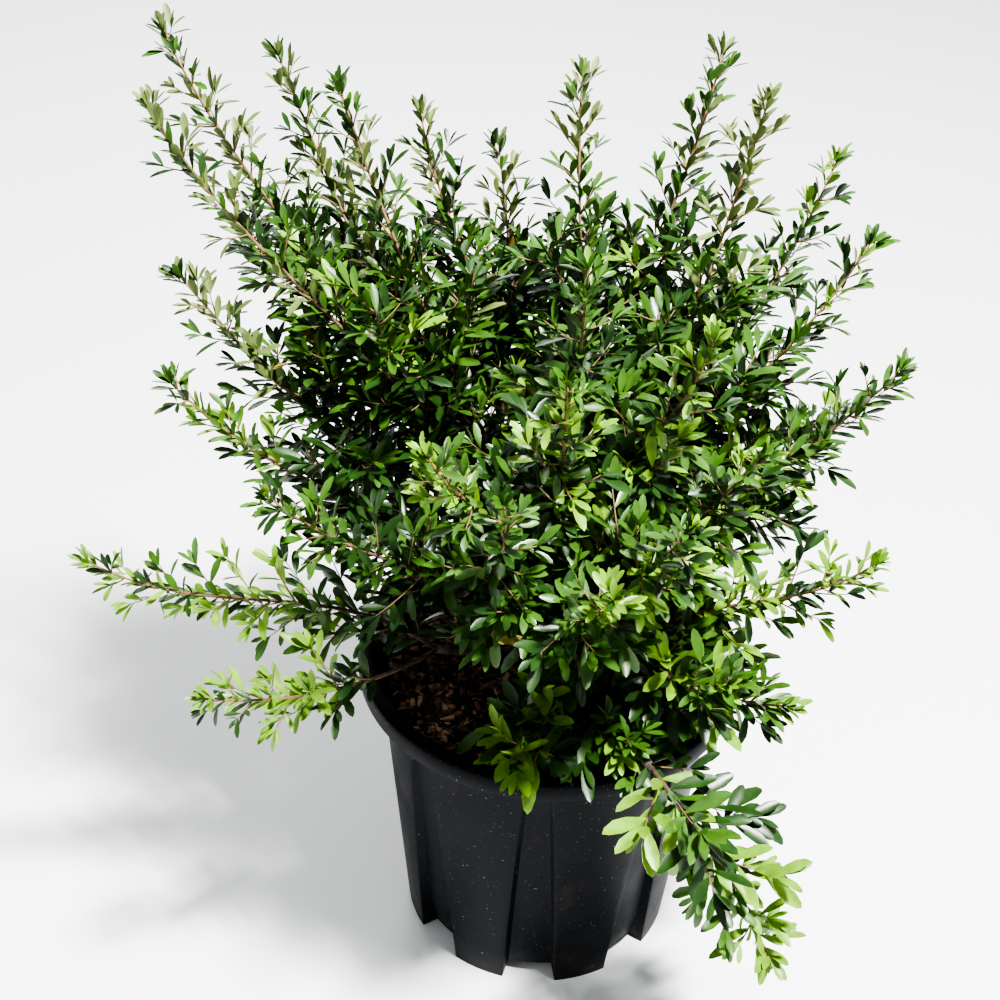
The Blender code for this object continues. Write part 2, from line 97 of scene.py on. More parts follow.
# Mulch. A chip's width, thickness and skews are shares of its length.
MIX_TOP = 0.244
MIX_RADIUS = 0.1290
MIX_DEPTH = 0.012
MIX_SIDES = 96
MIX_SINK = 0.001
MIX_RELIEF = 0.0022
MIX_RELIEF_SCALE = 90
CHIP_SHAPES = 5
# A share of the chips in each tone. The tan chips partly stand in for sunlit chips: painted sunlight over
# the bark's own tone.
CHIP_TONES = {"dark": 0.50, "brown": 0.36, "tan": 0.14}
CHIP_LENGTHS = (0.35, 1.35)
CHIP_WIDTHS = (0.20, 0.42)
CHIP_THICKNESSES = (0.10, 0.22)
CHIP_WEDGE = 0.16
CHIP_SKEW = 0.12
CHIP_TWIST = 0.04
CHIP_HEIGHTS = (-0.0005, 0.0034)
CHIP_PITCH = 0.32
CHIP_ROLL = 0.4
CHIP_WALL_SPACE = 0.004
MIX_DARKER = 0.5
CHIP_DARKER = 0.55

# Stem and boughs
GAP = 0.0003
PATH_PULL = 0.38
PATH_END = 0.999
STEM_HEIGHT = 0.086
STEM_STEPS = 40
STEM_LEAN = (0.004, -0.003)
STEM_LEAN_FROM = 0.08
STEM_RADII = ((0.0, 0.0195), (0.08, 0.0155), (0.25, 0.0135), (0.7, 0.0115), (0.92, 0.0095), (1.0, 0.0055))
BOUGH_FOOT_RADIUS = 0.0043
BOUGH_TIP_RADIUS = 0.0036
BOUGH_BARK_SHARE = 0.94
BOUGH_STEPS = 14
BOUGH_START_LIFT = 0.35
BOUGH_START_LIFT_BY_RISE = 0.6
BOUGH_END_LIFT = 0.25
FORK_ANGLE = math.radians(33)
STEM_RELIEF = (0.0016, 130)
BOUGH_RELIEF = (0.0005, 300)
RELIEF_DRAWN_OUT = 0.45
OLD_BARK = ((0.110, 0.085, 0.065), (0.040, 0.030, 0.024))

# Each bough by its place in the crown: the height at which it leaves the stem, the share of the way
# to its shoots' tips at which they part, and each tip's bearing, reach from the axis and height.
BOUGHS = {
    "low_left": (0.016, 0.30, ((-74, 0.350, 0.420), (-56, 0.300, 0.356))),
    "low_front": (0.018, 0.36, ((-10, 0.172, 0.305), (21, 0.172, 0.318))),
    "low_right": (0.016, 0.30, ((64, 0.247, 0.455), (55, 0.212, 0.325), (36, 0.205, 0.385))),
    "rear_right": (0.018, 0.30, ((150, 0.270, 0.480), (122, 0.280, 0.410))),
    "rear_left": (0.018, 0.30, ((-150, 0.280, 0.460), (-128, 0.290, 0.400))),
    "drooping": (0.034, 0.0, ((38, 0.274, 0.160),)),
    "left": (0.036, 0.30, ((-82, 0.281, 0.538), (-59, 0.236, 0.503))),
    "rear": (0.036, 0.30, ((180, 0.270, 0.450), (172, 0.190, 0.560))),
    "right": (0.036, 0.30, ((120, 0.221, 0.651), (98, 0.210, 0.629), (88, 0.239, 0.548))),
    "front_left": (0.053, 0.30, ((-10, 0.244, 0.592), (-24, 0.220, 0.597), (6, 0.262, 0.538))),
    "high_left": (0.054, 0.30, ((-109, 0.304, 0.735), (-96, 0.290, 0.711), (-88, 0.271, 0.604))),
    "high_right": (0.054, 0.30, ((140, 0.158, 0.725), (111, 0.137, 0.722))),
    "front_right": (0.056, 0.30, ((31, 0.164, 0.649), (42, 0.187, 0.563), (16, 0.249, 0.575))),
    "front": (0.072, 0.30, ((-2, 0.190, 0.645), (5, 0.080, 0.664))),
    "upper_left": (0.069, 0.30, ((-123, 0.257, 0.703), (-107, 0.170, 0.722), (-137, 0.163, 0.673))),
    "top": (0.079, 0.30, ((178, 0.100, 0.714), (-161, 0.170, 0.631))),
}

# The bough whose share is 0 ends at this crest, and its shoot hangs over from there.
DROOP_CREST = (26, 0.166, 0.288)
DROOP_CREST_LIFT = 0.05

# Shoots, branches and side twigs
SHOOT_STEPS = 16
SHOOT_SINK = 0.001
SHOOT_TIP_SPACE = 0.012
SHOOT_LIFT = 0.35
SHOOT_DROOP = 0.25
SHOOT_RADII = (0.0019, 0.0007)
SHOOT_BARK = ((0.135, 0.078, 0.042), (0.060, 0.040, 0.026))
YOUNG_FROM = 9
YOUNG_BARK = ((0.300, 0.180, 0.085), (0.170, 0.105, 0.055))
BRANCH_SHARES = (0.16, 0.30, 0.44)
BRANCH_ANGLE = math.radians(36)
BRANCH_REACH = 0.36
BRANCH_LIFT = 0.25
BRANCH_TIP_LIFT = 0.6
BRANCH_STEPS = 6
BRANCH_RADII = (0.0012, 0.0006)
SIDE_TWIG_RADII = (0.0008, 0.0004)
SIDE_TWIG_ANGLE = math.radians(50)
SIDE_TWIG_ANGLES = (0.75, 1.25)
SIDE_TWIG_LENGTHS = (0.45, 1.1)
SIDE_TWIG_TAPER = 0.75
SIDE_TWIG_SHORTEST = 0.006
SIDE_TWIG_LIFT = 0.12
SIDE_TWIG_TIP_LIFT = 0.3
SIDE_TWIG_STEPS = 3
NODE_TURNS = (-0.4, 0.4)

# Where leaves begin on each limb, how full its sprays are, and how young those of an inner limb look.
BOUGH_LEAFY_FROM = 0.42
BOUGH_FULLNESS = 0.55
SHOOT_LEAFY_FROM = 0.03
BRANCH_LEAFY_FROM = 0.15
BRANCH_FULLNESS = 0.5
INNER_AGE = 0.35

# Leaves. The pairs are ranges: those of lengths, and those of angles at nodes and along twigs, multiply
# the usual ones, and those of tip leaves' angles are in radians. The lengths by age run from the foot
# of a shoot to its tip.
LEAF_ANGLE_BASE = math.radians(62)
LEAF_ANGLE_TIP = math.radians(34)
NODE_LEAVES = 3
NODE_LEAF_ANGLES = (0.8, 1.15)
NODE_LEAF_TURN = 2.1
TWIG_LEAVES_FEWEST = 2
TWIG_LEAVES_FROM = 0.8
TWIG_LEAF_ANGLES = (0.75, 1.2)
LEAF_LENGTHS = (0.8, 1.15)
LEAF_LENGTHS_BY_AGE = (1.15, 0.70)
SPRAY_LENGTHS = (0.85, 1.1)
SHOOT_TIP_LEAVES = 7
SHOOT_TIP_ANGLES = (0.15, 0.75)
SHOOT_TIP_LENGTHS = (0.45, 0.7)
TWIG_TIP_LEAVES = 3
TWIG_TIP_ANGLES = (0.2, 0.7)
TWIG_TIP_LENGTHS = (0.6, 0.9)
LEAF_FACES_OUTWARD = 1.5
LEAF_FACES_SPREAD = 0.35
LEAF_WIDTH = 0.29
LEAF_WIDEST_AT = 1.5
LEAF_BLUNTNESS = 0.6
LEAF_THICKNESS = 0.014
LEAF_FOLD = 0.05
LEAF_CURL = 0.07
LEAF_STATIONS = (0.14, 0.42, 0.70, 0.92)
LEAF_SHARP_ANGLE = math.radians(55)
LEAF_GLOSS = {"deep": 0.34, "mid": 0.36, "fresh": 0.42, "olive": 0.55, "straw": 0.5}
LEAF_DARKER = 0.62
LEAVES_PER_PIECE = 5500
RIM_CLEARANCE = 0.004
LOWEST_LEAF = 0.03

# Leaves by shoot, and the shares of the kinds: at a shoot's foot, and what is added towards its tip.
# The topmost shoots. Their leaves turn pale olive towards the tips: partly painted top light, partly the
# leaves' own paler green.
TOP_LIT_SHOOTS = ("high_left", "upper_left", "high_right", "top")
FRESH_SHOOTS = ("low_front_1", "drooping_1", "low_left_1", "low_left_2", "low_right_1")
BROAD_SHOOTS = ("drooping_1", "low_front_1", "low_front_2", "low_right_2", "low_right_3")
SLENDER_SHOOTS = ("drooping", "low_left", "low_right", "left_")
BROAD_LEAVES = 1.35
OLIVE_SHARE = 0.6
FRESH_SHARES_ON_FRESH = (0.20, 0.6)
FRESH_SHARES = (0.06, 0.14)
MID_SHARES = (0.50, 0.30)
FADING_SHARE = 0.002

# The patch of mulch that no leaf hides from the front, and the height up to which leaves keep off it.
PATCH_MIDDLE = (-0.090, -0.030)
PATCH_HALF = (0.042, 0.064)
PATCH_CLEAR_TO = 0.40

# Camera and light. Each light has a place, a power and a size.
CAMERA_PLACE = (-0.043, -1.061, 1.210)
CAMERA_LENS = 64.8
CAMERA_RIGHT = (0.99938, 0.02109, 0.02803)
CAMERA_UP = (-0.03507, 0.6008, 0.7986)
CAMERA_FORWARD = (0.0, 0.7991, -0.6012)
LIT_POINT = (0, 0, 0.42)
LIGHTS = {
    "key": ((0.7, -0.8, 2.9), 260, 0.30),
    "fill": ((-1.9, -1.5, 1.6), 8, 1.6),
    "rear": ((-0.6, 2.0, 2.2), 40, 1.2),
}
SKY_COLOUR = (0.93, 0.96, 1.0, 1)
SKY_STRENGTH = 0.45
FLOOR_COLOUR = (0.86, 0.86, 0.86, 1)
FLOOR_REACH = 6


# Helpers


def new_material(name):
    made = bpy.data.materials.new(name)
    made.use_nodes = True
    return made, made.node_tree, made.node_tree.nodes["Principled BSDF"]


def in_scene(name, data):
    """A new object in the scene."""
    made = bpy.data.objects.new(name, data)
    bpy.context.scene.collection.objects.link(made)
    return made


def finish_piece(name, mesh, finish, replaced=()):
    """Adds a finished mesh to the scene as a piece of the object."""
    mesh.materials.clear()
    mesh.materials.append(finish)
    made = in_scene(name, mesh)
    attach(made, BODY)
    if replaced:
        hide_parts(*replaced)


def mesh_of(form, name):
    mesh = bpy.data.meshes.new(name)
    form.to_mesh(mesh)
    form.free()
    return mesh


def evaluated_mesh(thing):
    """The object's mesh with its modifiers applied, after which the object itself goes."""
    bpy.context.view_layer.update()
    mesh = bpy.data.meshes.new_from_object(thing.evaluated_get(bpy.context.evaluated_depsgraph_get()))
    thing.modifiers.clear()
    bpy.data.objects.remove(thing)
    return mesh


def place(bearing, reach, height):
    turn = math.radians(bearing)
    return Vector((reach * math.sin(turn), -reach * math.cos(turn), height))


def between(first, last, share):
    return first + (last - first) * share


def darker(colour, share):
    return tuple(share * part for part in colour)


def nodes_named(start):
    return sorted(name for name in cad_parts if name.startswith(start))


# Materials


def socket(tree, name, way, kind, default=None):
    made = tree.interface.new_socket(name, in_out=way, socket_type=kind)
    if default is not None:
        made.default_value = default


def mottle_group():
    """A mask from 0 to 1 in soft patches, on Object coordinates."""
    tree = bpy.data.node_groups.new("mottle", "ShaderNodeTree")
    socket(tree, "Scale", "INPUT", "NodeSocketFloat", 20.0)
    socket(tree, "Low", "INPUT", "NodeSocketFloat", 0.4)
    socket(tree, "High", "INPUT", "NodeSocketFloat", 0.6)
    socket(tree, "Mask", "OUTPUT", "NodeSocketFloat")
    nodes, links = tree.nodes, tree.links
    given, made = nodes.new("NodeGroupInput"), nodes.new("NodeGroupOutput")
    where = nodes.new("ShaderNodeTexCoord")
    patches = nodes.new("ShaderNodeTexNoise")
    patches.inputs["Detail"].default_value = 5
    patches.inputs["Roughness"].default_value = 0.6
    spread = nodes.new("ShaderNodeMapRange")
    links.new(where.outputs["Object"], patches.inputs["Vector"])
    links.new(given.outputs["Scale"], patches.inputs["Scale"])
    links.new(patches.outputs["Fac"], spread.inputs["Value"])
    links.new(given.outputs["Low"], spread.inputs["From Min"])
    links.new(given.outputs["High"], spread.inputs["From Max"])
    links.new(spread.outputs["Result"], made.inputs["Mask"])
    return tree


def mottle(tree, scale, low, high):
    node = tree.nodes.new("ShaderNodeGroup")
    node.node_tree = bpy.data.node_groups.get("mottle") or mottle_group()
    node.inputs["Scale"].default_value = scale
    node.inputs["Low"].default_value = low
    node.inputs["High"].default_value = high
    return node.outputs["Mask"]


def mixed(tree, mask, first, second):
    """A colour between two, each a plain colour or another node's output."""
    node = tree.nodes.new("ShaderNodeMix")
    node.data_type = "RGBA"
    tree.links.new(mask, node.inputs["Factor"])
    for name, value in (("A", first), ("B", second)):
        colour = next(s for s in node.inputs if s.name == name and s.type == "RGBA")
        if isinstance(value, bpy.types.NodeSocket):
            tree.links.new(value, colour)
        else:
            colour.default_value = (*value, 1)
    return next(s for s in node.outputs if s.type == "RGBA")


def grain(tree, surface, scale, strength, distance):
    """A fine relief on the surface."""
    node = tree.nodes.new("ShaderNodeBump")
    node.inputs["Strength"].default_value = strength
    node.inputs["Distance"].default_value = distance
    tree.links.new(mottle(tree, scale, low=0.3, high=0.7), node.inputs["Height"])
    tree.links.new(node.outputs["Normal"], surface.inputs["Normal"])


def plastic_material(settings):
    """Moulded near-black plastic with pale dust, brown scuffs and a fine grain. Its navy tint is painted
    reflection of a blue sky.
    """
    made, tree, surface = new_material("charcoal_plastic")
    # The plastic's colour: near-black, with a navy tint that is painted sky reflection.
    base = tuple(settings.plastic)
    dusty = tuple(settings.dust)
    dust = mottle(tree, scale=9, low=0.45, high=0.75)
    specks = mottle(tree, scale=420, low=0.66, high=0.72)
    scuffs = mottle(tree, scale=26, low=0.60, high=0.78)
    faint = tuple(between(a, b, DUST_VEIL) for a, b in zip(base, dusty))
    tint = mixed(tree, dust, base, faint)
    tint = mixed(tree, scuffs, tint, SCUFF_COLOUR)
    tint = mixed(tree, specks, tint, dusty)
    tree.links.new(tint, surface.inputs["Base Color"])
    surface.inputs["Specular IOR Level"].default_value = 0.07
    rough = tree.nodes.new("ShaderNodeMapRange")
    rough.inputs["To Min"].default_value = 0.38
    rough.inputs["To Max"].default_value = 0.62
    tree.links.new(dust, rough.inputs["Value"])
    tree.links.new(rough.outputs["Result"], surface.inputs["Roughness"])
    grain(tree, surface, scale=600, strength=0.15, distance=0.0002)
    return made


def bark_material(name, young, old, scale):
    """Dry bark: two tones in patches, over a coarse relief."""
    made, tree, surface = new_material(name)
    patches = mottle(tree, scale, low=0.38, high=0.62)
    tree.links.new(mixed(tree, patches, young, old), surface.inputs["Base Color"])
    surface.inputs["Roughness"].default_value = 0.8
    grain(tree, surface, scale=scale * 5, strength=0.5, distance=0.0006)
    return made


def leaf_material(name, colour, gloss):
    """A leathery leaf: two close tones in patches, over a fine relief."""
    made, tree, surface = new_material(name)
    patches = mottle(tree, scale=55, low=0.40, high=0.62)
    tint = mixed(tree, patches, tuple(colour), darker(colour, LEAF_DARKER))
    tree.links.new(tint, surface.inputs["Base Color"])
    surface.inputs["Roughness"].default_value = gloss
    surface.inputs["Specular IOR Level"].default_value = 0.55
    grain(tree, surface, scale=900, strength=0.2, distance=0.0002)
    return made


# Pot


def columns(height):
    """The angles of the wall's columns at a height, each with how deep it lies in a flute, from 0 to 1."""
    rise = min(max(height / FLUTE_TOP, 0), 1)
    half = 0.5 * between(FLUTE_SHARE_FOOT, FLUTE_SHARE_TOP, rise)
    panel = 1 - 2 * (half + FLUTE_EDGE)
    shares = [(-half + 2 * half * i / FLUTE_STEPS, 1.0) for i in range(FLUTE_STEPS + 1)]
    shares += [(half + FLUTE_EDGE * 0.5, 0.5)]
    shares += [(half + FLUTE_EDGE + panel * i / PANEL_STEPS, 0.0) for i in range(PANEL_STEPS + 1)]
    shares += [(1 - half - FLUTE_EDGE * 0.5, 0.5)]
    pitch = math.tau / PITCHES
    return [(FLUTE_TURN + pitch * (k + share), depth) for k in range(PITCHES) for share, depth in shares]


def wall_radius(height):
    return between(WALL_FOOT_RADIUS, WALL_TOP_RADIUS, height / (POT_HEIGHT - RIM_BAND))


def flute_depth(height):
    if height > FLUTE_TOP:
        return 0.0
    return FLUTE_DEPTH_FOOT + (FLUTE_DEPTH_TOP - FLUTE_DEPTH_FOOT) * height / FLUTE_TOP


def ring(form, height, radius, deep_radius=None, deep_height=None):
    """One row of the pot's sheet. Its points in the flutes may have their own radius and height."""
    row = []
    for angle, depth in columns(height):
        r = between(radius, deep_radius, depth) if deep_radius is not None else radius
        z = between(height, deep_height, depth) if deep_height is not None else height
        row.append(form.verts.new((r * math.sin(angle), -r * math.cos(angle), z)))
    return row


def join_rings(form, rows):
    """Fills the space between each row of points and the next with a band of faces."""
    bands = []
    for low, high in zip(rows, rows[1:]):
        turned_low = low[1:] + low[:1]
        turned_high = high[1:] + high[:1]
        bands.append([form.faces.new(corners) for corners in zip(low, turned_low, turned_high, high)])
    return bands


def pot_sheet():
    """The pot's outer face, from the middle of its base to the foot of its rim, with its drain holes."""
    form = bmesh.new()
    pad_radius = WALL_FOOT_RADIUS - FOOT_PAD
    flange = POT_HEIGHT - WALL
    skirt = RIM_RADIUS - WALL
    rows = [
        ring(form, 0, BASE_DISC_RADIUS),
        ring(form, FOOT_HEIGHT, CHANNEL_RADIUS),
        ring(form, FOOT_HEIGHT, pad_radius - FOOT_SLOPE),
        ring(form, 0, pad_radius, pad_radius, FOOT_HEIGHT),
        ring(form, 0, WALL_FOOT_RADIUS, WALL_FOOT_RADIUS - FLUTE_DEPTH_FOOT, FOOT_HEIGHT),
    ]
    for i in range(1, WALL_ROWS + 1):
        height = FOOT_HEIGHT + (FLUTE_TOP - FOOT_HEIGHT) * i / WALL_ROWS
        radius = wall_radius(height)
        rows.append(ring(form, height, radius, radius - flute_depth(height)))
    rows += [
        ring(form, POT_HEIGHT - RIM_BAND + NECK_HEIGHT, WALL_TOP_RADIUS),
        ring(form, flange - RIM_ROUND, RIM_OPENING_RADIUS + WALL - RIM_ROUND * RIM_ROUND_INSIDE),
        ring(form, flange, RIM_OPENING_RADIUS + WALL),
        ring(form, flange, skirt - RIM_ROUND),
        ring(form, flange - RIM_ROUND * RIM_ROUND_MIDDLE, skirt - RIM_ROUND * RIM_ROUND_MIDDLE),
        ring(form, flange - RIM_ROUND, skirt),
        ring(form, POT_HEIGHT - RIM_BAND, skirt),
    ]
    form.faces.new(reversed(rows[0]))
    channel = join_rings(form, rows)[1]
    per_pitch = len(rows[0]) // PITCHES
    holes = [face for k in range(PITCHES) for face in channel[k * per_pitch:k * per_pitch + FLUTE_STEPS]]
    bmesh.ops.delete(form, geom=holes, context="FACES_ONLY")
    return in_scene("pot_sheet", mesh_of(form, "pot_sheet"))


# Mulch


def mix_bed():
    """A round bed of mix with an uneven edge, closed below. The chips lie on it."""
    form = bmesh.new()
    bmesh.ops.create_circle(form, cap_ends=True, segments=MIX_SIDES, radius=MIX_RADIUS)
    edge = list(form.verts)
    for vert in edge:
        bumps = noise.fractal(vert.co * MIX_RELIEF_SCALE, 0.7, 2.0, 3)
        vert.co.z = MIX_TOP - MIX_SINK + MIX_RELIEF * bumps
    foot = [form.verts.new((vert.co.x, vert.co.y, MIX_TOP - MIX_DEPTH)) for vert in edge]
    join_rings(form, [foot, edge])
    form.faces.new(foot)
    bmesh.ops.recalc_face_normals(form, faces=form.faces)
    mesh = mesh_of(form, "mix_bed")
    mesh.shade_smooth()
    return mesh


def chip_shape(number, draw):
    """A sliver of bark one long, wedge-ended and a little twisted."""
    form = bmesh.new()
    bmesh.ops.create_cube(form, size=1)
    for vert in form.verts:
        vert.co.x *= draw.uniform(*CHIP_WIDTHS)
        vert.co.z *= draw.uniform(*CHIP_THICKNESSES)
        vert.co.y += draw.uniform(-CHIP_WEDGE, CHIP_WEDGE)
        vert.co.x += vert.co.y * draw.uniform(-CHIP_SKEW, CHIP_SKEW)
        vert.co.z += draw.uniform(-CHIP_TWIST, CHIP_TWIST)
    bmesh.ops.recalc_face_normals(form, faces=form.faces)
    return bpy.data.objects.new(f"chip_shape_{number}", mesh_of(form, f"chip_shape_{number}"))


def chip_spot(draw, chip_length):
    """A chip's place on the mix, the way it lies and its length."""
    reach = (MIX_RADIUS - CHIP_WALL_SPACE) * math.sqrt(draw.random())
    spot = place(draw.uniform(0, 360), reach, MIX_TOP + draw.uniform(*CHIP_HEIGHTS))
    flat = Quaternion(UP, draw.uniform(0, math.tau))
    pitched = Quaternion((1, 0, 0), draw.gauss(0, CHIP_PITCH))
    rolled = Quaternion((0, 1, 0), draw.gauss(0, CHIP_ROLL))
    return spot, flat @ pitched @ rolled, chip_length * draw.uniform(*CHIP_LENGTHS)


# Limbs, shoots and leaves


def stem_point(height):
    lean = max(height / STEM_HEIGHT - STEM_LEAN_FROM, 0)
    return Vector((STEM_LEAN[0] * lean, STEM_LEAN[1] * lean, MIX_TOP + GAP + height))


def stem_radius(share):
    shares, radii = zip(*STEM_RADII)
    return float(np.interp(share, shares, radii))


def smooth_path(start, start_way, end, end_way, steps):
    span = (end - start).length * PATH_PULL
    return interpolate_bezier(start, start + start_way * span, end - end_way * span, end, steps + 1)


def bough_path(place_name):
    """A bough's line from inside the stem to the point where its shoots part, and its way there."""
    height, share, tips = BOUGHS[place_name]
    tips = [place(*tip) for tip in tips]
    start = stem_point(height)
    middle = sum(tips, Vector()) / len(tips)
    end = start.lerp(middle, share) if share else place(*DROOP_CREST)
    outward = Vector((end.x - start.x, end.y - start.y, 0)).normalized()
    rise = (end - start).normalized().z
    start_way = (outward + UP * (BOUGH_START_LIFT + BOUGH_START_LIFT_BY_RISE * rise)).normalized()
    end_way = (end - start).normalized() if share else (outward + UP * DROOP_CREST_LIFT).normalized()
    end_way = (end_way + UP * BOUGH_END_LIFT * max(rise, 0)).normalized()
    return smooth_path(start, start_way, end, end_way, BOUGH_STEPS), end_way


def fork_ways(end_way, tips):
    """The way in which each shoot leaves the bough's end: evenly round the bough's own way, each on
    the side of its tip."""
    if len(tips) == 1:
        return [end_way]
    middle = sum(tips, Vector()) / len(tips)
    aside = end_way.cross(tips[0] - middle).normalized()
    across = aside.cross(end_way)
    sides = [math.atan2((tip - middle).dot(aside), (tip - middle).dot(across)) for tip in tips]
    order = sorted(range(len(tips)), key=lambda i: sides[i])
    even = [math.tau * k / len(tips) for k in range(len(tips))]
    shift = math.atan2(
        sum(math.sin(sides[i] - even[k]) for k, i in enumerate(order)),
        sum(math.cos(sides[i] - even[k]) for k, i in enumerate(order)),
    )
    ways = [None] * len(tips)
    for k, i in enumerate(order):
        turn = even[k] + shift
        spread = across * math.cos(turn) + aside * math.sin(turn)
        ways[i] = (end_way * math.cos(FORK_ANGLE) + spread * math.sin(FORK_ANGLE)).normalized()
    return ways


def around(way, angle, turn):
    """A way that leaves another at an angle, on the side that a turn round it gives."""
    side = Matrix.Rotation(turn, 3, way) @ way.orthogonal().normalized()
    return (way * math.cos(angle) + side * math.sin(angle)).normalized()


def along(path, share):
    """The point at a share of the path's steps, and the path's way there."""
    spot = min(share, PATH_END) * (len(path) - 1)
    i = int(spot)
    step = path[i + 1] - path[i]
    return path[i] + step * (spot - i), step.normalized()


def path_length(path):
    return sum((b - a).length for a, b in zip(path, path[1:]))


def hides_patch(point):
    """Whether a point stands between the camera and the bare patch of mulch."""
    if point.z >= PATCH_CLEAR_TO:
        return False
    sight = point - Vector(CAMERA_PLACE)
    seen = point + sight * ((MIX_TOP - point.z) / sight.z)
    aside = (seen.x - PATCH_MIDDLE[0]) / PATCH_HALF[0]
    ahead = (seen.y - PATCH_MIDDLE[1]) / PATCH_HALF[1]
    return math.hypot(aside, ahead) < 1


def clear(point):
    """Whether a point is outside the pot and the mulch, and leaves the bare patch of mulch in sight."""
    if point.z < LOWEST_LEAF or hides_patch(point):
        return False
    reach = math.hypot(point.x, point.y)
    if reach < RIM_OPENING_RADIUS - RIM_CLEARANCE:
        return point.z > MIX_TOP + RIM_CLEARANCE
    return reach > RIM_RADIUS + RIM_CLEARANCE or point.z > POT_HEIGHT + RIM_CLEARANCE


